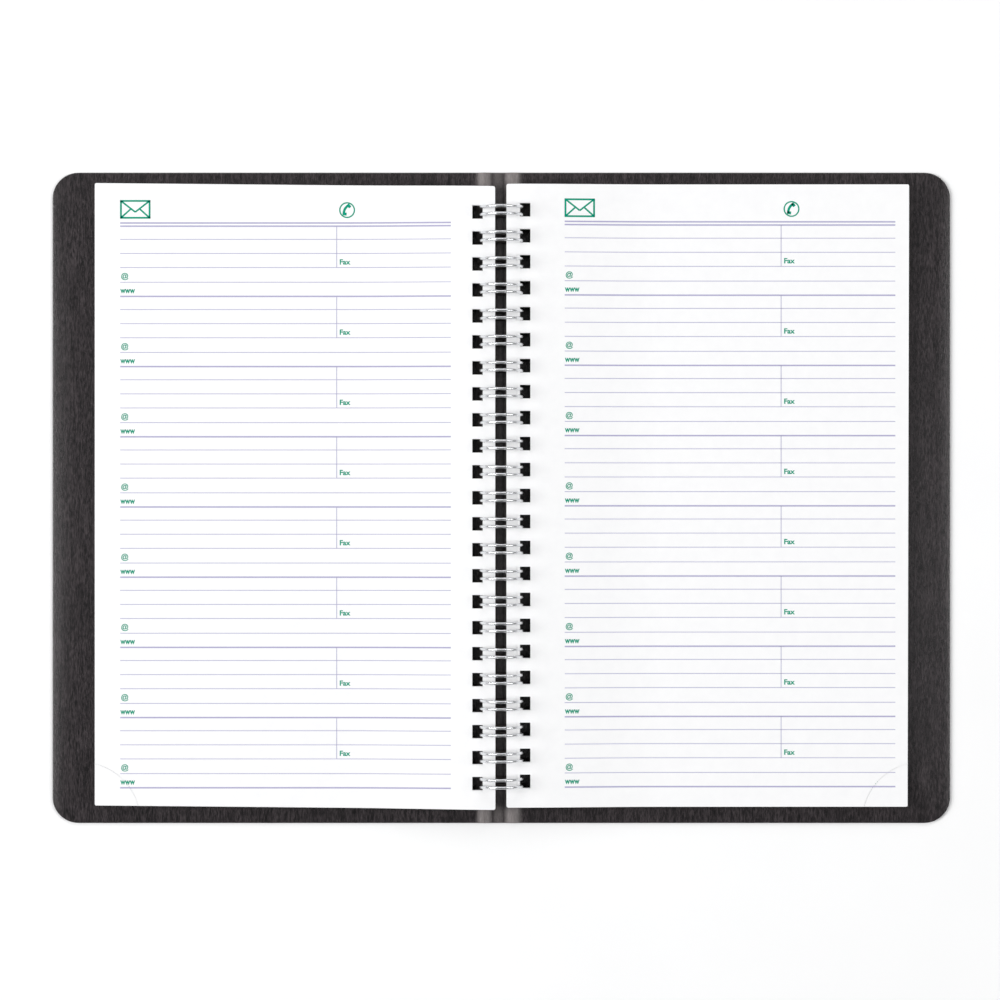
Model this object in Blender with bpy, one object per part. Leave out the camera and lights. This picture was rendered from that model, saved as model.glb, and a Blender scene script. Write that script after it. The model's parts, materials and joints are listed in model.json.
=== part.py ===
"""A wire-bound address book, lying open on a table.

A flexible cover wraps round two blocks of punched leaves, which turn on a twin-loop wire. The origin is
on the table under the middle of the spine: +X runs to the right fore edge, +Y to the head of the pages and
+Z up. Sizes are in metres. Side -1 is the left half of the book, and side +1 the right half.
"""

from math import atan2, cos, degrees, pi, radians, sin, sqrt

import bmesh
import bpy
from mathutils import Matrix, Vector

MM = 0.001

# Cover: one sheet with a crease on each side of the spine, modelled as three panels.
COVER_WIDTH = 294 * MM
COVER_HEIGHT = 213 * MM
COVER_THICKNESS = 0.9 * MM
COVER_CORNER_RADIUS = 8.5 * MM
SPINE_WIDTH = 15 * MM
CREASE_GAP = 0.3 * MM

# Binding wire: loops at three to the inch, each a hairpin of two legs wound round the book's axis.
LOOP_COUNT = 23
LOOP_PITCH = 25.4 / 3 * MM
LOOP_OUTER_RADIUS = 7.2 * MM
WIRE_DIAMETER = 1.0 * MM
WIRE_RADIUS = LOOP_OUTER_RADIUS - WIRE_DIAMETER / 2
LEG_SPACING = 2.4 * MM
LEG_START_DEG = -40
LEG_END_DEG = 292
LEG_STEPS = 10
TIP_STEPS = 4
SEAM_DEG = -47
# Everything on the cover sits a little nearer its head: the wire, and the leaves within the play of their holes.
WIRE_RISE = 0.35 * MM
LEAF_RISE = 0.6 * MM
TABLE_CLEARANCE = 0.3 * MM
AXIS_HEIGHT = COVER_THICKNESS + TABLE_CLEARANCE + LOOP_OUTER_RADIUS

# Leaves: flat sheets that hang a little below the wire's axis and slope down to the fore edge, where they are
# trimmed flush this far from the axis.
PAGE_REACH = 132.6 * MM
PAGE_HEIGHT = LOOP_PITCH * (LOOP_COUNT + 1)
PAGE_CORNER_RADIUS = 0.5 * MM
HOLE_SIZE = 4.5 * MM
HOLE_MARGIN = 3.3 * MM
LEAF_COUNT = 8
FIRST_LEAF_DEPTH = 0.35 * MM
TOP_LEAF_THICKNESS = 0.15 * MM
LEAF_THICKNESS = 0.2 * MM
LEAF_PITCH = 0.4 * MM
BOARD_THICKNESS = 0.4 * MM
LEAF_INSETS = [1.65 * MM, 2.6 * MM, 2.4 * MM, 2.2 * MM, 2.0 * MM, 1.8 * MM, 1.7 * MM, 1.6 * MM]
BOARD_INSET = 1.2 * MM
# The holes have play on the wire, so a block that folds slides this far down and in towards the spine.
FOLD_SLACK = 0.75 * MM

# Tear-off corner: a circle about a point outside the page's lower outer corner cuts it off.
PERFORATION_RADIUS = 19.4 * MM
PERFORATION_OFFSET = 4.7 * MM
PERFORATION_GAP = 0.3 * MM
PERFORATION_STEPS = 8
PERFORATION_MIDDLE_DEG = 135

CORNER_STEPS = 3
COVER_CORNER_STEPS = 8

BOARD_DEPTH = FIRST_LEAF_DEPTH + LEAF_PITCH * LEAF_COUNT
STACK_DROP = AXIS_HEIGHT - BOARD_DEPTH - BOARD_THICKNESS - COVER_THICKNESS - TABLE_CLEARANCE
LEAF_SLOPE = STACK_DROP / PAGE_REACH

COVER_BLACK = ("cover_leatherette", (0.028, 0.026, 0.026), 0.62, 0.0)
WIRE_SILVER = ("wire_silver", (0.74, 0.75, 0.77), 0.25, 1.0)
PAPER_WHITE = ("paper_white", (0.93, 0.93, 0.93), 0.85, 0.0)
BOARD_WHITE = ("board_white", (0.84, 0.84, 0.83), 0.9, 0.0)


def clear_scene():
    for item in list(bpy.data.objects):
        bpy.data.objects.remove(item)


def add_object(name, data, finish, location=(0, 0, 0)):
    """An object of its own material, with its origin at a place."""
    _, colour, roughness, metallic = finish
    material = bpy.data.materials.new(name + "_" + finish[0])
    material.use_nodes = True
    shader = material.node_tree.nodes["Principled BSDF"]
    shader.inputs["Base Color"].default_value = (*colour, 1.0)
    shader.inputs["Roughness"].default_value = roughness
    shader.inputs["Metallic"].default_value = metallic
    data.materials.append(material)
    item = bpy.data.objects.new(name, data)
    item.location = location
    bpy.context.scene.collection.objects.link(item)
    return item


def arc(centre, radius, start, end, steps):
    """Points along an arc between two angles in degrees, both ends included."""
    angles = [radians(start + (end - start) * i / steps) for i in range(steps + 1)]
    return [(centre[0] + radius * cos(a), centre[1] + radius * sin(a)) for a in angles]


def raise_plate(bm, low, high):
    """Turns the flat faces in bm, drawn at height 0, into a closed plate between two heights."""
    bmesh.ops.triangulate(bm, faces=bm.faces[:])
    for vertex in bm.verts:
        vertex.co.z = low
    top = bmesh.ops.extrude_face_region(bm, geom=bm.faces[:])["geom"]
    for vertex in (v for v in top if isinstance(v, bmesh.types.BMVert)):
        vertex.co.z = high
    bmesh.ops.recalc_face_normals(bm, faces=bm.faces[:])


def finished_mesh(bm, name):
    mesh = bpy.data.meshes.new(name)
    bm.to_mesh(mesh)
    bm.free()
    return mesh


def add_face(bm, points, side=1):
    bm.faces.new([bm.verts.new((side * x, y, 0.0)) for x, y in points])


def fan(bm, points, near, far, side):
    """Fills the strip between a column of points and its two far corners with triangles."""
    middle = len(points) // 2
    for i in range(len(points) - 1):
        apex = near if i < middle else far
        add_face(bm, [apex, points[i], points[i + 1]], side)
    add_face(bm, [near, points[middle], far], side)


def punched_outline(bm, inset, side, corner):
    """Faces of a punched leaf seen from above; corner gives the outline of its lower outer corner."""
    bottom, top = -PAGE_HEIGHT / 2, PAGE_HEIGHT / 2
    inner, outer = inset, PAGE_REACH
    hole_near = inner + HOLE_MARGIN
    hole_far = hole_near + HOLE_SIZE
    strip_end = outer - 2 * PERFORATION_RADIUS
    rows = [bottom]
    for i in range(LOOP_COUNT):
        centre = (i - (LOOP_COUNT - 1) / 2) * LOOP_PITCH
        rows += [centre - HOLE_SIZE / 2, centre + HOLE_SIZE / 2]
    rows.append(top)
    for low, high in zip(rows[0::2], rows[1::2]):
        add_face(bm, [(hole_near, low), (hole_far, low), (hole_far, high), (hole_near, high)], side)
    fan(bm, [(hole_near, y) for y in rows], (inner, bottom), (inner, top), side)
    fan(bm, [(hole_far, y) for y in rows], (strip_end, bottom), (strip_end, top), side)
    radius = PAGE_CORNER_RADIUS
    upper = arc((outer - radius, top - radius), radius, 0, 90, CORNER_STEPS)
    add_face(bm, [(strip_end, bottom), *corner(outer, bottom), *upper, (strip_end, top)], side)
    bmesh.ops.remove_doubles(bm, verts=bm.verts[:], dist=0.01 * MM)


def round_corner(outer, bottom):
    radius = PAGE_CORNER_RADIUS
    return arc((outer - radius, bottom + radius), radius, -90, 0, CORNER_STEPS)


def perforation(outer, bottom, radius):
    """The curved tear line, from the foot of the page to its fore edge."""
    reach = sqrt(radius**2 - PERFORATION_OFFSET**2)
    end = degrees(atan2(PERFORATION_OFFSET, reach))
    centre = (outer + PERFORATION_OFFSET, bottom - PERFORATION_OFFSET)
    return arc(centre, radius, 180 - end, 90 + end, PERFORATION_STEPS)


def torn_corner(outer, bottom):
    return perforation(outer, bottom, PERFORATION_RADIUS + PERFORATION_GAP / 2)


def wire_frame(side):
    """From a leaf's own flat frame, with the wire's axis at its origin, to the sloping leaf in place."""
    place = Matrix.Translation((0.0, LEAF_RISE, AXIS_HEIGHT))
    return place @ Matrix.Rotation(side * LEAF_SLOPE, 4, "Y")


def place_on_hinge(bm, name, finish, side, hinge):
    """Slopes a leaf and gives it its origin at a point of its hinge."""
    bm.transform(Matrix.Translation(-hinge) @ wire_frame(side))
    return add_object(name, finished_mesh(bm, name), finish, hinge)


def block_hinge(side):
    """Where a whole block swings: the wire's axis, moved by the play of the holes."""
    return Vector((side * FOLD_SLACK, 0.0, AXIS_HEIGHT - FOLD_SLACK))


def build_leaf(name, side, inset, depth):
    bm = bmesh.new()
    punched_outline(bm, inset, side, round_corner)
    raise_plate(bm, -depth - LEAF_THICKNESS, -depth)
    return place_on_hinge(bm, name, PAPER_WHITE, side, block_hinge(side))


def build_end_board(name, side):
    """The stiff card under a block."""
    bm = bmesh.new()
    punched_outline(bm, BOARD_INSET, side, round_corner)
    raise_plate(bm, -BOARD_DEPTH - BOARD_THICKNESS, -BOARD_DEPTH)
    return place_on_hinge(bm, name, BOARD_WHITE, side, block_hinge(side))


def build_top_leaf(name, side):
    """The leaf that lies uppermost, without its tear-off corner; it turns over about the wire's axis."""
    bm = bmesh.new()
    punched_outline(bm, LEAF_INSETS[0], side, torn_corner)
    raise_plate(bm, -FIRST_LEAF_DEPTH - TOP_LEAF_THICKNESS, -FIRST_LEAF_DEPTH)
    return place_on_hinge(bm, name, PAPER_WHITE, side, Vector((0.0, 0.0, AXIS_HEIGHT)))


def build_corner_tab(name, side):
    """The tear-off corner of the top leaf; it lifts about the middle of the tear line."""
    outer, bottom = PAGE_REACH, -PAGE_HEIGHT / 2
    tear = perforation(outer, bottom, PERFORATION_RADIUS - PERFORATION_GAP / 2)
    bm = bmesh.new()
    add_face(bm, [*tear, *reversed(round_corner(outer, bottom))], side)
    raise_plate(bm, -FIRST_LEAF_DEPTH - TOP_LEAF_THICKNESS, -FIRST_LEAF_DEPTH)
    middle = radians(PERFORATION_MIDDLE_DEG)
    x = outer + PERFORATION_OFFSET + PERFORATION_RADIUS * cos(middle)
    y = bottom - PERFORATION_OFFSET + PERFORATION_RADIUS * sin(middle)
    hinge = wire_frame(side) @ Vector((side * x, y, -FIRST_LEAF_DEPTH))
    return place_on_hinge(bm, name, PAPER_WHITE, side, hinge)


def build_block(side, half, board):
    """All the leaves of one side, with the stiff board under them."""
    build_top_leaf(half + "_leaf_1", side)
    build_corner_tab(half + "_corner_tab", side)
    for i in range(1, LEAF_COUNT):
        depth = FIRST_LEAF_DEPTH + i * LEAF_PITCH
        build_leaf(half + "_leaf_" + str(i + 1), side, LEAF_INSETS[i], depth)
    build_end_board(board, side)


def build_cover_panel(name, side):
    """One cover, with its origin on the crease at the cover's inner face."""
    start = CREASE_GAP / 2
    width = (COVER_WIDTH - SPINE_WIDTH) / 2
    half_height, radius = COVER_HEIGHT / 2, COVER_CORNER_RADIUS
    lower = arc((width - radius, radius - half_height), radius, -90, 0, COVER_CORNER_STEPS)
    upper = arc((width - radius, half_height - radius), radius, 0, 90, COVER_CORNER_STEPS)
    bm = bmesh.new()
    add_face(bm, [(start, -half_height), *lower, *upper, (start, half_height)], side)
    raise_plate(bm, -COVER_THICKNESS, 0.0)
    crease = (side * SPINE_WIDTH / 2, 0.0, COVER_THICKNESS)
    return add_object(name, finished_mesh(bm, name), COVER_BLACK, crease)


def build_spine_strip():
    half_width, half_height = (SPINE_WIDTH - CREASE_GAP) / 2, COVER_HEIGHT / 2
    corners = [(-half_width, -half_height), (half_width, -half_height)]
    corners += [(half_width, half_height), (-half_width, half_height)]
    bm = bmesh.new()
    add_face(bm, corners)
    raise_plate(bm, 0.0, COVER_THICKNESS)
    return add_object("spine_strip", finished_mesh(bm, "spine_strip"), COVER_BLACK)


def on_loop(angle, y):
    """A point on the wire's centre line, at an angle about the book's axis."""
    a = radians(angle)
    return Vector((WIRE_RADIUS * cos(a), y + WIRE_RISE, AXIS_HEIGHT + WIRE_RADIUS * sin(a)))


def loop_points(centre):
    """One double loop: up the first leg, round the tip and back down the second leg."""
    half = LEG_SPACING / 2
    span = LEG_END_DEG - LEG_START_DEG
    leg = [LEG_START_DEG + span * i / LEG_STEPS for i in range(LEG_STEPS + 1)]
    points = [on_loop(SEAM_DEG, centre - half - WIRE_DIAMETER)]
    points += [on_loop(angle, centre - half) for angle in leg]
    tip_reach = half / WIRE_RADIUS * 180 / pi
    for i in range(1, TIP_STEPS):
        turn = pi * i / TIP_STEPS
        points.append(on_loop(LEG_END_DEG + tip_reach * sin(turn), centre - half * cos(turn)))
    points += [on_loop(angle, centre + half) for angle in reversed(leg)]
    points.append(on_loop(SEAM_DEG, centre + half + WIRE_DIAMETER))
    return points


def build_wire():
    """The whole binding, one wire from head to tail."""
    points = []
    for i in range(LOOP_COUNT):
        points += loop_points((i - (LOOP_COUNT - 1) / 2) * LOOP_PITCH)
    curve = bpy.data.curves.new("twin_loop_wire", "CURVE")
    curve.dimensions = "3D"
    curve.bevel_depth = WIRE_DIAMETER / 2
    curve.bevel_resolution = 1
    curve.use_fill_caps = True
    spline = curve.splines.new("POLY")
    spline.points.add(len(points) - 1)
    for place, point in zip(spline.points, points):
        place.co = (*point, 1.0)
    return add_object("twin_loop_wire", curve, WIRE_SILVER)


def main():
    clear_scene()
    build_cover_panel("front_cover", -1)
    build_spine_strip()
    build_cover_panel("back_cover", 1)
    build_wire()
    build_block(-1, "left", "front_end_board")
    build_block(1, "right", "back_end_board")


main()
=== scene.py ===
"""The looks of a wire-bound address book lying open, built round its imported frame.

+X runs to the right fore edge, +Y to the head of the pages and +Z up from the table. Sizes are in metres.
Side -1 is the left half of the book and side +1 the right half. Sheets, cards and print are drawn flat,
then laid on the curve that open pages take as they fall from the binding to the cover.
"""

import json
import random
from math import atan2, cos, pi, radians, sin, sqrt

import bmesh
import bpy
from mathutils import Matrix, Vector


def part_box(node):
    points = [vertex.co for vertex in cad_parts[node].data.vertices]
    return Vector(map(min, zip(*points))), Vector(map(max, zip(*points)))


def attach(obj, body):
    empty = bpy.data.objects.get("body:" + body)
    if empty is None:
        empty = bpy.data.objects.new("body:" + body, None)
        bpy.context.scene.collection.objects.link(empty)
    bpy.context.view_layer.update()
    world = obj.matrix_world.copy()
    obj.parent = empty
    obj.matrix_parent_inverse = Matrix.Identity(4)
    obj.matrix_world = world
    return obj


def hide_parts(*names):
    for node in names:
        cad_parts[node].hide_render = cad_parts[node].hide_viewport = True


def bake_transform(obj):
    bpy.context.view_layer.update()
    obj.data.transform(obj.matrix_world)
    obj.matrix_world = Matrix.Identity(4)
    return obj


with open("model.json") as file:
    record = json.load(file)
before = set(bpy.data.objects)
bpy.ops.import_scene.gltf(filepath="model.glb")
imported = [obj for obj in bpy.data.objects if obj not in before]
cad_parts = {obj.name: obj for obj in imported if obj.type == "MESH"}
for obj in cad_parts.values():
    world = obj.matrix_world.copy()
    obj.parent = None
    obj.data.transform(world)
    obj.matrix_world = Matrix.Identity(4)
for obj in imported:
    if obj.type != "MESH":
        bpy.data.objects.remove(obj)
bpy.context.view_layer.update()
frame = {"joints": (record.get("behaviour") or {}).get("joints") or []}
joints = {joint["name"]: joint for joint in frame["joints"]}
chance = random.Random(23)

MM = 0.001
TOWARDS_HEAD = Vector((0, 1, 0))
ACROSS = Vector((1, 0, 0))

# Binding: loops at three to the inch, each a hairpin of two legs wound round the book's axis.
AXIS_HEIGHT = joints["left_leaf_turn"]["pos_m"][2]
LOOP_COUNT = 23
LOOP_PITCH = 25.4 / 3 * MM
WIRE_RADIUS = 6.7 * MM
WIRE_DIAMETER = 1.0 * MM
WIRE_RISE = 0.35 * MM
LEG_SPACING = 2.4 * MM
LEG_START_DEG, LEG_END_DEG, SEAM_DEG = -40, 292, -47
LEG_STEPS, TIP_STEPS = 40, 8
LOOP_LEAN_DEG = 0.7

# Cover: one grained sheet, with two soft ribs where it wraps round the spine.
COVER_CORNER_RADIUS = 8.5 * MM
COVER_EDGE_RADIUS = 0.28 * MM
SPINE_CUTS, SPINE_CUT_PITCH = 32, 0.4 * MM
# Each rib as the place of its middle across the book, its reach to either side and its rise.
RIBS = [
    (-5.6 * MM, 2.6 * MM, 0.7 * MM),
    (3.7 * MM, 2.9 * MM, 0.75 * MM),
    (-1.0 * MM, 1.9 * MM, 0.15 * MM),
]

# Pages. The curve starts just outside the wire and ends where the leaves lie flat on the cover.
PAGE_HALF_HEIGHT = 4 * 25.4 * MM
PAGE_REACH = -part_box("left_leaf_2")[0].x
CURVE_START, CURVE_END = 5 * MM, 52 * MM
CURVE_CUTS = 16
FALL = 3.25 * MM
HOLE_SIZE = 4.5 * MM
FORE_CORNER_RADIUS = 0.5 * MM
SPINE_CORNER_RADIUS = 0.6 * MM
TOP_DEPTH, TOP_THICKNESS = 0.35 * MM, 0.12 * MM
SHEET_THICKNESS, SHEET_PITCH, SHEETS_PER_LEAF = 0.09 * MM, 0.1 * MM, 4
SECOND_LEAF_DEPTH, LEAF_PITCH, LEAF_COUNT = 0.57 * MM, 0.4 * MM, 8
CARD_DEPTH, CARD_THICKNESS = 3.55 * MM, 0.4 * MM

# Tear-off corner: a circle about a point outside the page's lower outer corner.
TEAR_RADIUS = 19.4 * MM
TEAR_OFFSET = 4.7 * MM
TEAR_SLIT = 0.1 * MM
TEAR_STITCHES = 26
LEAF_RISE = 0.6 * MM

# Print, as laid down on the press: a film too thin to feel, drawn thick enough to stay off the paper.
INK_THICKNESS = 0.02 * MM
INK_GAP = 0.012 * MM
RULE_LENGTH = 108.0 * MM
RULE_WIDTH = 0.23 * MM
BLOCK_RULE_WIDTH = 0.48 * MM
BLOCK_COUNT = 8
BLOCK_HEIGHT = 22.92 * MM
ROWS = [4.3 * MM, 8.9 * MM, 13.5 * MM, 18.3 * MM]
HEAD_RULE_GAP = 1.05 * MM
COLUMN = 70.7 * MM
RULING_LEFT = {-1: -124.45 * MM, 1: 20.65 * MM}
RULING_HEAD = {-1: 88.7 * MM, 1: 89.08 * MM}

# Studio: a dim surround, and softboxes given as name, place, size and watts. All of them face the book.
SURROUND_STRENGTH = 0.2
SOFTBOXES = [
    ("left_softbox", (-1.7, 0, 1.5), (0.8, 1.5), 42),
    ("right_softbox", (1.7, 0, 1.7), (0.9, 1.4), 22),
    ("head_softbox", (-0.1, 1.8, 1.6), (2.2, 1.2), 16),
]
CAMERA_PLACE = (-0.43 * MM, -0.7 * MM, 1300.9 * MM)
SENSOR_WIDTH, LENS = 36, 142.9
FLOOR_GAP, FLOOR_REACH = 0.1 * MM, 4


# ---------------------------------------------------------------------------------------------- finishes


def colour(code):
    """The linear colour of an sRGB hex code such as #1A2B3C."""
    channels = [int(code[i : i + 2], 16) / 255 for i in (1, 3, 5)]
    return (*[c / 12.92 if c <= 0.04045 else ((c + 0.055) / 1.055) ** 2.4 for c in channels], 1.0)


def add_node(tree, kind, inputs=None, **settings):
    """Adds a node, sets its properties, and gives each input a value or another node's output."""
    node = tree.nodes.new("ShaderNode" + kind)
    for name, value in settings.items():
        setattr(node, name, value)
    for place, value in (inputs or {}).items():
        if isinstance(value, bpy.types.NodeSocket):
            tree.links.new(value, node.inputs[place])
        else:
            node.inputs[place].default_value = value
    return node


def new_finish(name):
    """An empty material: returns it with its node tree and the Object coordinates."""
    material = bpy.data.materials.new(name)
    material.use_nodes = True
    material.node_tree.nodes.clear()
    tree = material.node_tree
    return material, tree, add_node(tree, "TexCoord").outputs["Object"]


def close_finish(tree, **inputs):
    """Ends a material in one Principled shader; underscores in the names stand for spaces."""
    shader = add_node(tree, "BsdfPrincipled", {key.replace("_", " "): v for key, v in inputs.items()})
    add_node(tree, "OutputMaterial", {"Surface": shader.outputs["BSDF"]})


def make_leatherette():
    """Leatherette: a black vinyl film, embossed with a fine brushed grain that runs from head to tail, and
    laminated to board. It is soft charcoal with short pale streaks, shines a little on bends, and carries a
    painted highlight in grey over the spine's ribs."""
    material, tree, place = new_finish("embossed_leatherette")
    # Streaks 0.33 mm wide and about 2 mm long, on longer fibres, and softer patches 9 mm across.
    grain_place = add_node(tree, "Mapping", {"Vector": place, "Scale": (1 / 0.33, 1 / 2.0, 1 / 0.5)})
    grain = {"Vector": grain_place.outputs[0], "Scale": 1000, "Detail": 3, "Roughness": 0.65}
    grain = add_node(tree, "TexNoise", grain)
    fibre_place = add_node(tree, "Mapping", {"Vector": place, "Scale": (1 / 0.9, 1 / 14.0, 1 / 0.9)})
    fibre = add_node(tree, "TexNoise", {"Vector": fibre_place.outputs[0], "Scale": 1000, "Detail": 2})
    patches = add_node(tree, "TexNoise", {"Vector": place, "Scale": 1000 / 9, "Detail": 2})
    grain = add_node(tree, "Math", {0: grain.outputs[0], 1: 0.72}, operation="MULTIPLY")
    both = {0: fibre.outputs[0], 1: 0.28, 2: grain.outputs[0]}
    both = add_node(tree, "Math", both, operation="MULTIPLY_ADD").outputs[0]
    tone = add_node(tree, "ValToRGB", {"Fac": both})
    dark, pale = tone.color_ramp.elements
    dark.position, pale.position = 0.4, 0.62
    dark.color, pale.color = colour("#080607"), colour("#443E40")
    rub = {"Value": patches.outputs[0], "From Min": 0.35, "From Max": 0.75, "To Max": 0.4}
    rubbed = add_node(tree, "MapRange", rub)
    worn = {"Factor": rubbed.outputs[0], "A": tone.outputs[0], "B": colour("#1A1718")}
    worn = add_node(tree, "Mix", worn, data_type="RGBA")
    # The film is painted grey over the ribs, most along the streaks: a painted highlight that stands in for
    # the shine of the ribs' bends. Why it is grey there isn't known: it may be shine, not colour. A band is
    # at its greyest over the middle third of its rib, and as grey as it gets where the rib stands 0.35 mm or
    # more.
    x = add_node(tree, "SeparateXYZ", {"Vector": place}).outputs["X"]
    rib_painted_highlight = None
    for middle, reach, rise in RIBS:
        away = add_node(tree, "Math", {0: x, 1: middle}, operation="SUBTRACT")
        away = add_node(tree, "Math", {0: away.outputs[0]}, operation="ABSOLUTE")
        fade = {"Value": away.outputs[0], "From Min": 0.35 * reach, "From Max": 1.25 * reach}
        fade |= {"To Min": 1, "To Max": 0}
        band = add_node(tree, "MapRange", fade, interpolation_type="SMOOTHSTEP")
        strength = {0: band.outputs[0], 1: min(rise / (0.35 * MM), 1)}
        band = add_node(tree, "Math", strength, operation="MULTIPLY")
        if rib_painted_highlight:
            band = add_node(tree, "Math", {0: band.outputs[0], 1: rib_painted_highlight.outputs[0]}, operation="MAXIMUM")
        rib_painted_highlight = band
    streaks = {"Value": both, "From Min": 0.38, "From Max": 0.62, "To Min": 0.6, "To Max": 1}
    streaks = add_node(tree, "MapRange", streaks)
    painted_highlight = add_node(tree, "Math", {0: rib_painted_highlight.outputs[0], 1: streaks.outputs[0]}, operation="MULTIPLY")
    # Mixes the painted highlight into the film's colour.
    film = {"Factor": painted_highlight.outputs[0], "A": worn.outputs["Result"], "B": colour("#878180")}
    film = add_node(tree, "Mix", film, data_type="RGBA").outputs["Result"]
    shine = {"Value": both, "From Min": 0.3, "From Max": 0.7, "To Min": 0.3, "To Max": 0.22}
    shine = add_node(tree, "MapRange", shine).outputs[0]
    dents = add_node(tree, "Bump", {"Height": both, "Strength": 0.3, "Distance": 0.1 * MM}).outputs[0]
    close_finish(tree, Base_Color=film, Roughness=shine, IOR=1.5, Normal=dents)
    return material


def make_paper(name, light, shade, roughness):
    """Uncoated wood-free paper, calendered smooth: a clean matt white with a faint cloudiness where its
    fibres bunch, and a tooth that is too fine to see and is drawn 0.25 mm wide."""
    material, tree, place = new_finish(name)
    cloud = {"Vector": place, "Scale": 1000 / 3.5, "Detail": 4, "Roughness": 0.6}
    cloud = add_node(tree, "TexNoise", cloud)
    tone = {"Factor": cloud.outputs[0], "A": colour(shade), "B": colour(light)}
    tone = add_node(tree, "Mix", tone, data_type="RGBA").outputs["Result"]
    tooth = add_node(tree, "TexNoise", {"Vector": place, "Scale": 1000 / 0.25, "Detail": 2})
    dents = {"Height": tooth.outputs[0], "Strength": 0.12, "Distance": 0.02 * MM}
    dents = add_node(tree, "Bump", dents).outputs[0]
    close_finish(tree, Base_Color=tone, Roughness=roughness, IOR=1.5, Normal=dents)
    return material


def make_ink(name, full, thin):
    """Offset printing ink, dead matt, which lets a little paper through where the film is thin."""
    material, tree, place = new_finish(name)
    film = add_node(tree, "TexNoise", {"Vector": place, "Scale": 1000 / 0.6, "Detail": 3})
    tone = {"Factor": film.outputs[0], "A": colour(full), "B": colour(thin)}
    tone = add_node(tree, "Mix", tone, data_type="RGBA").outputs["Result"]
    close_finish(tree, Base_Color=tone, Roughness=0.8, IOR=1.5, Specular_IOR_Level=0.15)
    return material


def make_wire_silver():
    """Zinc-plated steel wire, drawn through a die: a bright silver with fine die lines, a little cloudy
    where the plating is thicker."""
    material, tree, place = new_finish("plated_steel_wire")
    # Die lines are too fine to show, so they are drawn 0.3 mm wide.
    lines_place = add_node(tree, "Mapping", {"Vector": place, "Scale": (1 / 2.4, 1 / 0.3, 1 / 2.4)})
    lines = add_node(tree, "TexNoise", {"Vector": lines_place.outputs[0], "Scale": 1000, "Detail": 2})
    tone = {"Factor": lines.outputs[0], "A": colour("#D4D6D9"), "B": colour("#F4F5F6")}
    tone = add_node(tree, "Mix", tone, data_type="RGBA")
    # The lower run is painted dull and dark, a painted shade only to keep the gap between the pages dark.
    # Real plating is probably as bright there as above: leave out this Mix to have it so.
    height = add_node(tree, "SeparateXYZ", {"Vector": place}).outputs["Z"]
    fall = {"Value": height, "From Min": 3 * MM, "From Max": 7 * MM, "To Min": 1, "To Max": 0}
    painted_shade = add_node(tree, "MapRange", fall).outputs[0]
    # Mixes the painted shade of the lower run into the plating's colour.
    plating = {"Factor": painted_shade, "A": tone.outputs["Result"], "B": colour("#4A4644")}
    plating = add_node(tree, "Mix", plating, data_type="RGBA").outputs["Result"]
    polish = add_node(tree, "MapRange", {"Value": lines.outputs[0], "To Min": 0.16, "To Max": 0.3})
    gloss = {0: painted_shade, 1: 0.3, 2: polish.outputs[0]}
    gloss = add_node(tree, "Math", gloss, operation="MULTIPLY_ADD").outputs[0]
    close_finish(tree, Base_Color=plating, Metallic=1.0, Roughness=gloss)
    return material


def make_floor_white():
    """Matt white seamless paper, under and behind the book."""
    material, tree, place = new_finish("seamless_paper")
    cloud = add_node(tree, "TexNoise", {"Vector": place, "Scale": 20, "Detail": 2})
    tone = {"Factor": cloud.outputs[0], "A": colour("#F6F6F6"), "B": colour("#FAFAFA")}
    tone = add_node(tree, "Mix", tone, data_type="RGBA").outputs["Result"]
    close_finish(tree, Base_Color=tone, Roughness=0.95, IOR=1.3)
    return material


LEATHERETTE = make_leatherette()
PAGE_PAPER = make_paper("uncoated_page_paper", "#F8F8F8", "#F1F1F2", 0.85)
CARD = make_paper("white_lined_card", "#E9E8E4", "#DCDBD6", 0.9)
RULE_INK = make_ink("lilac_ruling_ink", "#A6A3C3", "#B4B1CF")
LABEL_INK = make_ink("green_label_ink", "#008C6F", "#009D7F")
WIRE_SILVER = make_wire_silver()


# ------------------------------------------------------------------------------------------ shape helpers


def add_piece(name, bm, material, bodies, replaced=()):
    """Makes a finished piece of bm, which rides on a body, or is left on no body if none is named."""
    mesh = bpy.data.meshes.new(name)
    bm.to_mesh(mesh)
    bm.free()
    mesh.materials.append(material)
    mesh.shade_smooth()
    mesh.set_sharp_from_angle(angle=radians(32))
    piece = bpy.data.objects.new(name, mesh)
    bpy.context.scene.collection.objects.link(piece)
    if bodies:
        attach(piece, bodies)
    if replaced:
        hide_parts(*replaced)
    return piece


def cut(bm, place, normal, faces=None):
    """Adds an edge loop where a plane crosses all of bm, or only some of its faces."""
    faces = bm.faces[:] if faces is None else faces
    edges = {edge for face in faces for edge in face.edges}
    verts = {v for face in faces for v in face.verts}
    bmesh.ops.bisect_plane(bm, geom=[*faces, *edges, *verts], plane_co=place, plane_no=normal)


def round_corners(bm, corners, radius, segments):
    bmesh.ops.bevel(
        bm, geom=corners, offset=radius, affect="VERTICES", segments=segments, profile=0.5, material=-1
    )


def thicken(bm, thickness):
    """Turns flat faces into closed plates that reach down from where they were drawn."""
    lower = bmesh.ops.extrude_face_region(bm, geom=bm.faces[:])["geom"]
    lower = [v for v in lower if isinstance(v, bmesh.types.BMVert)]
    bmesh.ops.translate(bm, verts=lower, vec=(0, 0, -thickness))
    bmesh.ops.recalc_face_normals(bm, faces=bm.faces[:])


def fall(x):
    """How far the open pages have come down, at a distance from the binding."""
    t = min(max((abs(x) - CURVE_START) / (CURVE_END - CURVE_START), 0), 1)
    return FALL * t * t * (3 - 2 * t)


def lay_on_curve(bm):
    """Takes plates drawn flat at height 0 to the wire's axis, and bends them down to the cover."""
    for vertex in bm.verts:
        vertex.co.z += AXIS_HEIGHT - fall(vertex.co.x)


def curve_stations():
    return [CURVE_START + (CURVE_END - CURVE_START) * i / CURVE_CUTS for i in range(CURVE_CUTS + 1)]


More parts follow.
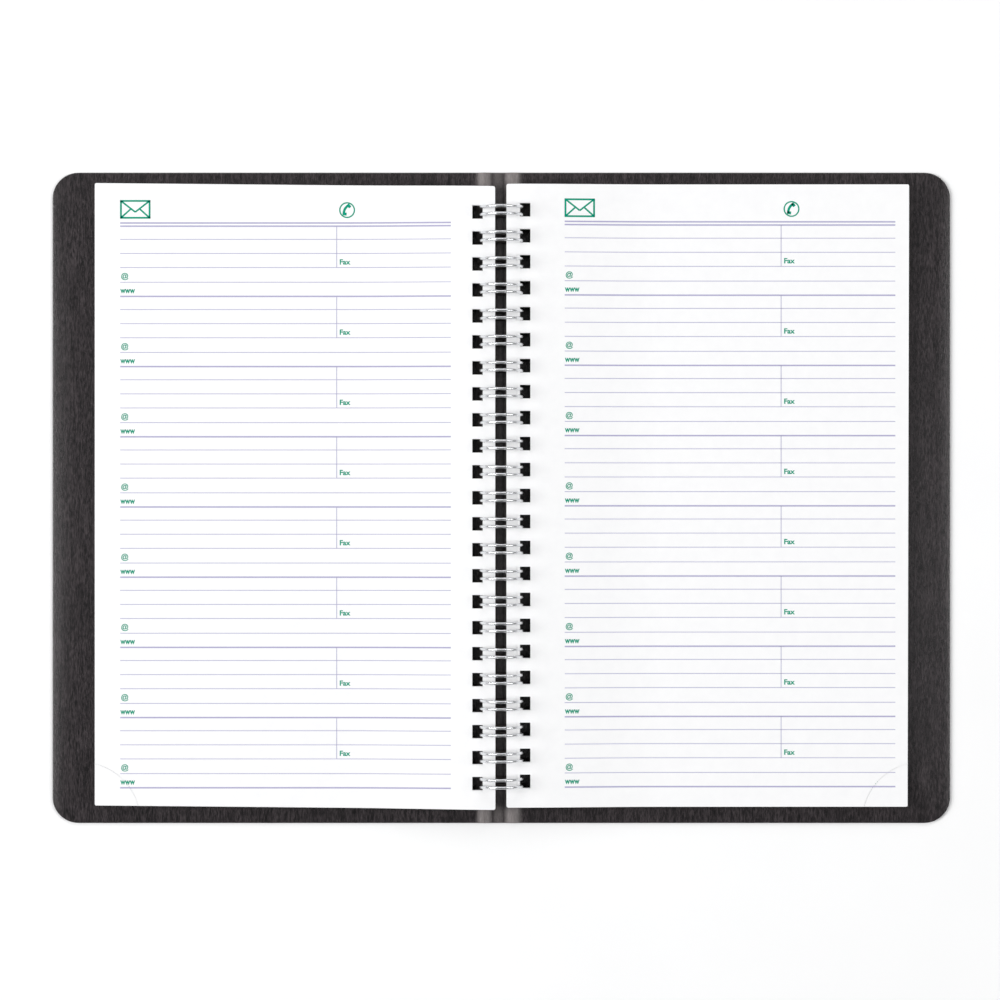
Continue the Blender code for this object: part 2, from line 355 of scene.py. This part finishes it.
def flip_side(bm, side):
    """Shapes are drawn for the right half; this mirrors them for the left."""
    if side < 0:
        bmesh.ops.scale(bm, vec=(-1, 1, 1), verts=bm.verts[:])
        bmesh.ops.recalc_face_normals(bm, faces=bm.faces[:])


# ------------------------------------------------------------------------------------------------- cover


def rib_height(x):
    """The raised ribs of the spine, across the book."""
    height = 0.0
    for middle, reach, rise in RIBS:
        t = min(abs(x - middle) / reach, 1)
        height += rise * (1 + cos(pi * t)) / 2
    return height


def build_cover_skin(name, side, panel, replaced):
    """One half of the cover with its half of the spine, cut across into narrow strips near the crease."""
    low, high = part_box(panel)
    reach = max(abs(low.x), abs(high.x))
    bm = bmesh.new()
    plan = [(0, low.y), (reach, low.y), (reach, high.y), (0, high.y)]
    corners = [bm.verts.new((x, y, high.z)) for x, y in plan]
    bm.faces.new(corners)
    round_corners(bm, corners[1:3], COVER_CORNER_RADIUS, 12)
    for i in range(1, SPINE_CUTS + 1):
        cut(bm, (i * SPINE_CUT_PITCH, 0, 0), ACROSS)
    thicken(bm, high.z - low.z)
    rim = [
        edge
        for edge in bm.edges
        if abs(edge.link_faces[0].normal.z) + abs(edge.link_faces[1].normal.z) > 0.9
        and abs(edge.link_faces[0].normal.z * edge.link_faces[1].normal.z) < 0.1
        and max(v.co.x for v in edge.verts) > 0.01 * MM
    ]
    bmesh.ops.bevel(
        bm, geom=rim, offset=COVER_EDGE_RADIUS, affect="EDGES", segments=3, profile=0.5, material=-1
    )
    for vertex in bm.verts:
        vertex.co.z += rib_height(side * vertex.co.x)
    flip_side(bm, side)
    piece = add_piece(name, bm, LEATHERETTE, None, replaced)
    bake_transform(piece)


# ------------------------------------------------------------------------------------------------ binding


def on_loop(angle, y, radius=WIRE_RADIUS):
    """A point on the wire's centre line, at an angle about the book's axis."""
    a = radians(angle)
    return Vector((radius * cos(a), y, AXIS_HEIGHT + radius * sin(a)))


def loop_points(centre):
    """One double loop: up the first leg, round the tip and back down the second leg."""
    half = LEG_SPACING / 2
    span = LEG_END_DEG - LEG_START_DEG
    leg = [LEG_START_DEG + span * i / LEG_STEPS for i in range(LEG_STEPS + 1)]
    points = [on_loop(SEAM_DEG, centre - half - WIRE_DIAMETER)]
    points += [on_loop(angle, centre - half) for angle in leg]
    tip_reach = half / WIRE_RADIUS * 180 / pi
    for i in range(1, TIP_STEPS):
        turn = pi * i / TIP_STEPS
        points.append(on_loop(LEG_END_DEG + tip_reach * sin(turn), centre - half * cos(turn)))
    points += [on_loop(angle, centre + half) for angle in reversed(leg)]
    points.append(on_loop(SEAM_DEG, centre + half + WIRE_DIAMETER))
    return points


def build_wire():
    """The whole binding, one wire from head to tail, each loop a hair out of true."""
    points = []
    for i in range(LOOP_COUNT):
        centre = (i - (LOOP_COUNT - 1) / 2) * LOOP_PITCH + WIRE_RISE
        lean = Matrix.Rotation(radians(chance.uniform(-LOOP_LEAN_DEG, LOOP_LEAN_DEG)), 3, "Z")
        middle = Vector((0, centre, 0))
        points += [middle + lean @ (point - middle) for point in loop_points(centre)]
    curve = bpy.data.curves.new("binding_wire", "CURVE")
    curve.dimensions = "3D"
    curve.bevel_depth = WIRE_DIAMETER / 2
    curve.bevel_resolution = 4
    curve.use_fill_caps = True
    spline = curve.splines.new("POLY")
    spline.points.add(len(points) - 1)
    for place, point in zip(spline.points, points):
        place.co = (*point, 1.0)
    spline.use_smooth = True
    curve.materials.append(WIRE_SILVER)
    piece = bpy.data.objects.new("binding_wire", curve)
    bpy.context.scene.collection.objects.link(piece)
    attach(piece, "binding")
    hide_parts("twin_loop_wire")


# ------------------------------------------------------------------------------------------------- leaves


def tear_centre():
    return Vector((PAGE_REACH + TEAR_OFFSET, LEAF_RISE - PAGE_HALF_HEIGHT - TEAR_OFFSET, 0))


def tear_line(bm, foot, fore, slit):
    """The perforation as a chain of edges from the foot of the page to its fore edge: ties lie on the
    circle itself, and between them a slit stands off it by a hair. Returns its vertices in order."""
    middle = tear_centre()
    first = atan2(foot - middle.y, -sqrt(TEAR_RADIUS**2 - (foot - middle.y) ** 2))
    last = atan2(sqrt(TEAR_RADIUS**2 - (fore - middle.x) ** 2), fore - middle.x)
    begin = bm.verts.new(middle + TEAR_RADIUS * Vector((cos(first), sin(first), 0)))
    steps = 4 * TEAR_STITCHES + 1
    bmesh.ops.spin(
        bm, geom=[begin], cent=middle, axis=(0, 0, 1), angle=last - first, steps=steps, use_duplicate=False
    )
    chain = sorted(bm.verts, key=lambda v: -atan2(v.co.y - middle.y, v.co.x - middle.x))
    for i, vertex in enumerate(chain):
        if i % 4 in (2, 3) and 0 < i < len(chain) - 1:
            vertex.co = middle + (vertex.co - middle) * (1 + slit / TEAR_RADIUS)
    return chain


def close_outline(bm, chain, corners):
    """Joins a chain of vertices and further corners into one flat face."""
    added = [bm.verts.new((x, y, 0)) for x, y in corners]
    ring = [chain[-1], *added, chain[0]]
    for a, b in zip(ring, ring[1:]):
        bm.edges.new((a, b))
    bmesh.ops.contextual_create(bm, geom=bm.edges[:])
    return added


def punch(bm, near, rise):
    """Cuts flat faces at the lines of the curve, and cuts out the square holes, whose inner edge is near."""
    for x in [near, near + HOLE_SIZE, *curve_stations()]:
        if not near < x < near + HOLE_SIZE:
            cut(bm, (x, 0, 0), ACROSS)
    centres = [(i - (LOOP_COUNT - 1) / 2) * LOOP_PITCH + rise for i in range(LOOP_COUNT)]

    def band():
        return [f for f in bm.faces if near < f.calc_center_median().x < near + HOLE_SIZE]

    for centre in centres:
        for y in (centre - HOLE_SIZE / 2, centre + HOLE_SIZE / 2):
            cut(bm, (0, y, 0), TOWARDS_HEAD, band())
    holes = [f for f in band() if min(abs(f.calc_center_median().y - c) for c in centres) < 0.1 * MM]
    bmesh.ops.delete(bm, geom=holes, context="FACES")


class Trim:
    """Where one side's block is cut: its corners, as distances from the axis and heights, and its holes."""

    def __init__(self, side):
        if side < 0:  # this block was cut a little out of square
            self.inner_foot, self.inner_head = 1.93 * MM, 2.03 * MM
            self.outer_foot, self.outer_head = 132.75 * MM, 132.75 * MM
            self.inner_rise, self.outer_rise, self.hole_rise = -0.05 * MM, 1.15 * MM, 0.0
        else:
            self.inner_foot, self.inner_head = 1.67 * MM, 1.67 * MM
            self.outer_foot, self.outer_head = 132.65 * MM, 133.15 * MM
            self.inner_rise, self.outer_rise, self.hole_rise = 0.7 * MM, 0.75 * MM, 0.75 * MM

    def corners(self, slide=0.0, rise=0.0):
        """Inner foot, outer foot, outer head and inner head; slide moves the inner edge off the axis."""
        inner, outer = self.inner_rise + rise, self.outer_rise + rise
        return [
            (self.inner_foot + slide, inner - PAGE_HALF_HEIGHT),
            (self.outer_foot, outer - PAGE_HALF_HEIGHT),
            (self.outer_head, outer + PAGE_HALF_HEIGHT),
            (self.inner_head + slide, inner + PAGE_HALF_HEIGHT),
        ]


TRIMS = {-1: Trim(-1), 1: Trim(1)}
HOLE_NEAR = 4.95 * MM
# How far out each leaf's holes sit from the top leaf's: the second leaf shows white in the holes above it.
HOLE_SLIDES = [0.0, 1.1 * MM, 0.85 * MM, 0.65 * MM, 0.45 * MM, 0.25 * MM, 0.15 * MM, 0.05 * MM]
# How far single sheets stray, in mm: at the holes, up or down the page, and at the fore edge.
SLIDE_SPREAD, RISE_SPREAD, PULL_SPREAD = 0.06, 0.07, 0.08


def plain_sheet(trim, slide, rise):
    """A flat punched sheet with all its corners, drawn at height 0."""
    bm = bmesh.new()
    corners = [bm.verts.new((x, y, 0)) for x, y in trim.corners(slide, rise)]
    bm.faces.new(corners)
    round_corners(bm, corners[1:3], FORE_CORNER_RADIUS, 3)
    round_corners(bm, [corners[0], corners[3]], SPINE_CORNER_RADIUS, 2)
    punch(bm, HOLE_NEAR + slide, trim.hole_rise + rise)
    return bm


def build_leaf_bundle(half, side, number):
    """One of the deeper leaves, as the handful of sheets that it stands for."""
    trim = TRIMS[side]
    bundle = bmesh.new()
    for i in range(SHEETS_PER_LEAF):
        slide = HOLE_SLIDES[number - 1] + chance.uniform(-SLIDE_SPREAD, SLIDE_SPREAD) * MM
        sheet = plain_sheet(trim, slide, chance.uniform(-RISE_SPREAD, RISE_SPREAD) * MM)
        thicken(sheet, SHEET_THICKNESS)
        depth = SECOND_LEAF_DEPTH + (number - 2) * LEAF_PITCH + i * SHEET_PITCH
        bmesh.ops.translate(sheet, verts=sheet.verts[:], vec=(0, 0, -depth))
        pull = chance.uniform(-PULL_SPREAD, PULL_SPREAD) * MM
        for vertex in sheet.verts:
            if vertex.co.x > CURVE_END:
                vertex.co.x += pull
        flat = bpy.data.meshes.new("sheet")
        sheet.to_mesh(flat)
        sheet.free()
        bundle.from_mesh(flat)
        bpy.data.meshes.remove(flat)
    lay_on_curve(bundle)
    flip_side(bundle, side)
    node = f"{half}_leaf_{number}"
    add_piece(f"{half}_sheets_{number}", bundle, PAGE_PAPER, node, [node])


def build_end_card(name, side, node):
    """The stiff card under a block."""
    card = plain_sheet(TRIMS[side], 0.0, 0.0)
    thicken(card, CARD_THICKNESS)
    bmesh.ops.translate(card, verts=card.verts[:], vec=(0, 0, -CARD_DEPTH))
    lay_on_curve(card)
    flip_side(card, side)
    add_piece(name, card, CARD, node, [node])


def finish_top_paper(bm, name, side, node):
    thicken(bm, TOP_THICKNESS)
    bmesh.ops.translate(bm, verts=bm.verts[:], vec=(0, 0, -TOP_DEPTH))
    lay_on_curve(bm)
    flip_side(bm, side)
    add_piece(name, bm, PAGE_PAPER, node, [node])


def build_top_sheet(half, side):
    """The uppermost leaf, without its tear-off corner."""
    trim = TRIMS[side]
    inner_foot, outer_foot, outer_head, inner_head = trim.corners()
    bm = bmesh.new()
    chain = tear_line(bm, outer_foot[1], outer_foot[0], TEAR_SLIT)
    fore_head, spine_head, spine_foot = close_outline(bm, chain, [outer_head, inner_head, inner_foot])
    round_corners(bm, [fore_head], FORE_CORNER_RADIUS, 4)
    round_corners(bm, [spine_head, spine_foot], SPINE_CORNER_RADIUS, 3)
    punch(bm, HOLE_NEAR, trim.hole_rise)
    finish_top_paper(bm, f"{half}_top_sheet", side, f"{half}_leaf_1")


def build_torn_corner(half, side):
    """The tear-off corner itself."""
    outer_foot = TRIMS[side].corners()[1]
    bm = bmesh.new()
    chain = tear_line(bm, outer_foot[1], outer_foot[0], -TEAR_SLIT)
    (corner,) = close_outline(bm, chain, [outer_foot])
    round_corners(bm, [corner], FORE_CORNER_RADIUS, 4)
    finish_top_paper(bm, f"{half}_torn_corner", side, f"{half}_corner_tab")


# -------------------------------------------------------------------------------------------------- print


def add_bar(bm, start, end, width, parts=1):
    """A straight printed line between two points, in parts short enough to follow the curve."""
    along = Vector(end) - Vector(start)
    turn = Matrix.Rotation(atan2(along.y, along.x), 4, "Z")
    middle = (Vector(start) + Vector(end)) / 2
    place = Matrix.Translation((*middle, 0)) @ turn @ Matrix.Diagonal((along.length, width, 1, 1))
    bmesh.ops.create_grid(bm, x_segments=parts, y_segments=1, size=0.5, matrix=place)


def add_word(bm, text, left, foot, width, height, weight=0.03):
    """A flat printed word of a given size, from its lower left corner; weight makes it bolder."""
    curve = bpy.data.curves.new(text, "FONT")
    curve.body = text
    curve.offset = weight
    holder = bpy.data.objects.new(text, curve)
    flat = bpy.data.meshes.new_from_object(holder)
    bpy.data.objects.remove(holder)
    bpy.data.curves.remove(curve)
    low = Vector([min(v.co[i] for v in flat.vertices) for i in range(3)])
    drawn = Vector([max(v.co[i] for v in flat.vertices) for i in range(3)]) - low
    scale = Matrix.Diagonal((width / drawn.x, height / drawn.y, 1, 1))
    flat.transform(Matrix.Translation((left, foot, 0)) @ scale @ Matrix.Translation(-low))
    bm.from_mesh(flat)
    bpy.data.meshes.remove(flat)


def add_envelope(bm, left, foot):
    """A pictogram for the postal address: an envelope seen from its flap."""
    width, height, line = 9.35 * MM, 5.5 * MM, 0.6 * MM
    right, head = left + width, foot + height
    flap = (left + width / 2, foot + 0.34 * height)
    for start, end in (
        ((left - line / 2, foot), (right + line / 2, foot)),
        ((left - line / 2, head), (right + line / 2, head)),
        ((left, foot), (left, head)),
        ((right, foot), (right, head)),
    ):
        add_bar(bm, start, end, line, 6)
    for x, lean in ((left, 1), (right, -1)):
        add_bar(bm, (x, head), flap, line * 0.9, 6)
        add_bar(bm, (x, foot), (x + lean * 0.33 * width, foot + 0.5 * height), line * 0.9, 4)


def add_handset(bm, middle):
    """A pictogram for the telephone: a leaning handset in a ring."""
    place = Matrix.Translation((*middle, 0))
    ring = bmesh.ops.create_circle(bm, cap_ends=True, radius=2.6 * MM, segments=40, matrix=place)["verts"]
    disc = [f for f in bm.faces if all(v in ring for v in f.verts)]
    bmesh.ops.inset_individual(bm, faces=disc, thickness=0.43 * MM, use_even_offset=True)
    bmesh.ops.delete(bm, geom=disc, context="FACES")
    lean = place @ Matrix.Rotation(radians(-28), 4, "Z")
    # The handle is an arc that bows to the left; an ear piece and a mouth piece end it.
    centre, half_arc = Vector((2.1 * MM, 0, 0)), 0.62
    inner, outer = 2.5 * MM, 3.3 * MM
    foot = Vector((-cos(half_arc), -sin(half_arc), 0))
    ends = [bm.verts.new(lean @ (centre + r * foot)) for r in (inner, outer)]
    handle = [*ends, bm.edges.new(ends)]
    bmesh.ops.spin(
        bm,
        geom=handle,
        cent=lean @ centre,
        axis=(0, 0, -1),
        angle=2 * half_arc,
        steps=10,
        use_duplicate=False,
    )
    for end in (-1, 1):
        tilt = Matrix.Rotation(end * radians(-24), 4, "Z")
        shift = Matrix.Translation((-0.12 * MM, end * 1.5 * MM, 0))
        size = Matrix.Diagonal((1.35 * MM, 0.95 * MM, 1, 1))
        cap = lean @ shift @ tilt @ size
        bmesh.ops.create_grid(bm, x_segments=1, y_segments=1, size=0.5, matrix=cap)


def draw_rules(bm, left, head):
    """The ruling of one page: a double line at the head, then eight blocks of five rows."""
    right = left + RULE_LENGTH
    add_bar(bm, (left, head + HEAD_RULE_GAP), (right, head + HEAD_RULE_GAP), BLOCK_RULE_WIDTH, 40)
    for block in range(BLOCK_COUNT + 1):
        y = head - block * BLOCK_HEIGHT
        add_bar(bm, (left, y), (right, y), BLOCK_RULE_WIDTH, 40)
        if block < BLOCK_COUNT:
            for row in ROWS:
                add_bar(bm, (left, y - row), (right, y - row), RULE_WIDTH, 40)
            add_bar(bm, (left + COLUMN, y), (left + COLUMN, y - ROWS[2]), RULE_WIDTH)


def draw_labels(bm, left, head):
    """The pictograms at the head of a page, and the field names in each block."""
    add_envelope(bm, left + 0.25 * MM, head + 2.75 * MM)
    add_handset(bm, (left + 74.1 * MM, head + 5.25 * MM))
    for block in range(BLOCK_COUNT):
        y = head - block * BLOCK_HEIGHT
        add_word(bm, "Fax", left + 71.7 * MM, y - ROWS[2] + 0.95 * MM, 3.5 * MM, 1.75 * MM)
        add_word(bm, "@", left + 0.35 * MM, y - ROWS[3] + 0.7 * MM, 2.35 * MM, 2.35 * MM, 0.02)
        add_word(bm, "www", left + 0.05 * MM, y - BLOCK_HEIGHT + 1.0 * MM, 4.8 * MM, 1.4 * MM)


def split_at_tear(bm, side, keep_corner):
    """Cuts flat print along the tear line of its page, and keeps the corner's share or the leaf's."""
    middle = tear_centre()
    middle.x *= side
    for i in range(9):
        angle = radians(106 + i * 7.5)
        outwards = Vector((side * cos(angle), sin(angle), 0))
        near = [f for f in bm.faces if (f.calc_center_median() - middle).length < 1.6 * TEAR_RADIUS]
        if near:
            cut(bm, middle + TEAR_RADIUS * outwards, outwards, near)
    dropped = [
        f for f in bm.faces if ((f.calc_center_median() - middle).length < TEAR_RADIUS) != keep_corner
    ]
    bmesh.ops.delete(bm, geom=dropped, context="FACES")


def print_page(name, side, node, depth, draw, ink, corner=None):
    """Prints one page: side is where its reader sees it, and node is the leaf under it. A page on the back
    of a leaf is drawn as its reader sees it, then turned over with the leaf. corner picks the share of a
    page with a tear line that is printed: the corner's (True) or the leaf's (False)."""
    bm = bmesh.new()
    draw(bm, RULING_LEFT[side], RULING_HEAD[side])
    if corner is not None:
        split_at_tear(bm, side, corner)
    if not bm.faces:
        bm.free()
        return
    thicken(bm, INK_THICKNESS)
    leaf_side = -1 if "left" in node else 1
    if side == leaf_side:
        rise = INK_GAP + INK_THICKNESS - depth
        bmesh.ops.translate(bm, verts=bm.verts[:], vec=(0, 0, rise))
    else:
        bmesh.ops.rotate(bm, verts=bm.verts[:], cent=(0, 0, 0), matrix=Matrix.Rotation(pi, 3, "Y"))
        rise = -INK_GAP - INK_THICKNESS - depth - TOP_THICKNESS
        bmesh.ops.translate(bm, verts=bm.verts[:], vec=(0, 0, rise))
    lay_on_curve(bm)
    add_piece(name, bm, ink, node)


def build_half(side, half, card_name, board):
    """All the leaves of one side, with their print and the stiff card under them."""
    build_top_sheet(half, side)
    build_torn_corner(half, side)
    for number in range(2, LEAF_COUNT + 1):
        build_leaf_bundle(half, side, number)
    build_end_card(card_name, side, board)
    top, corner, second = f"{half}_leaf_1", f"{half}_corner_tab", f"{half}_leaf_2"
    for kind, draw, ink in (("rules", draw_rules, RULE_INK), ("labels", draw_labels, LABEL_INK)):
        print_page(f"{half}_{kind}", side, top, TOP_DEPTH, draw, ink, False)
        print_page(f"{half}_corner_{kind}", side, corner, TOP_DEPTH, draw, ink, True)
        print_page(f"{half}_back_{kind}", -side, top, TOP_DEPTH, draw, ink, False)
        print_page(f"{half}_corner_back_{kind}", -side, corner, TOP_DEPTH, draw, ink, True)
        print_page(f"{half}_next_{kind}", side, second, SECOND_LEAF_DEPTH, draw, ink)


# -------------------------------------------------------------------------------------------------- studio


def build_floor():
    bm = bmesh.new()
    under = Matrix.Translation((0, 0, -FLOOR_GAP))
    bmesh.ops.create_grid(bm, x_segments=1, y_segments=1, size=FLOOR_REACH, matrix=under)
    mesh = bpy.data.meshes.new("floor")
    bm.to_mesh(mesh)
    bm.free()
    mesh.materials.append(make_floor_white())
    floor = bpy.data.objects.new("floor", mesh)
    bpy.context.scene.collection.objects.link(floor)


def add_softbox(name, place, size, power):
    light = bpy.data.lights.new(name, "AREA")
    light.shape, light.size, light.size_y, light.energy = "RECTANGLE", *size, power
    lamp = bpy.data.objects.new(name, light)
    lamp.location = place
    lamp.rotation_euler = (-Vector(place)).to_track_quat("-Z", "Y").to_euler()
    bpy.context.scene.collection.objects.link(lamp)


def build_studio():
    scene = bpy.context.scene
    scene.view_settings.view_transform = "Standard"
    scene.view_settings.look = "None"
    world = bpy.data.worlds.new("studio")
    world.use_nodes = True
    surround = world.node_tree.nodes["Background"]
    surround.inputs["Color"].default_value = colour("#F4F5F7")
    surround.inputs["Strength"].default_value = SURROUND_STRENGTH
    scene.world = world
    for softbox in SOFTBOXES:
        add_softbox(*softbox)
    camera = bpy.data.cameras.new("camera")
    camera.sensor_width, camera.lens = SENSOR_WIDTH, LENS
    camera.clip_start, camera.clip_end = 0.05, 20
    eye = bpy.data.objects.new("camera", camera)
    eye.location = CAMERA_PLACE
    scene.collection.objects.link(eye)
    scene.camera = eye


build_cover_skin("front_cover_skin", -1, "front_cover", ["front_cover", "spine_strip"])
build_cover_skin("back_cover_skin", 1, "back_cover", ["back_cover"])
build_wire()
build_half(-1, "left", "left_end_card", "front_end_board")
build_half(1, "right", "right_end_card", "back_end_board")
build_floor()
build_studio()
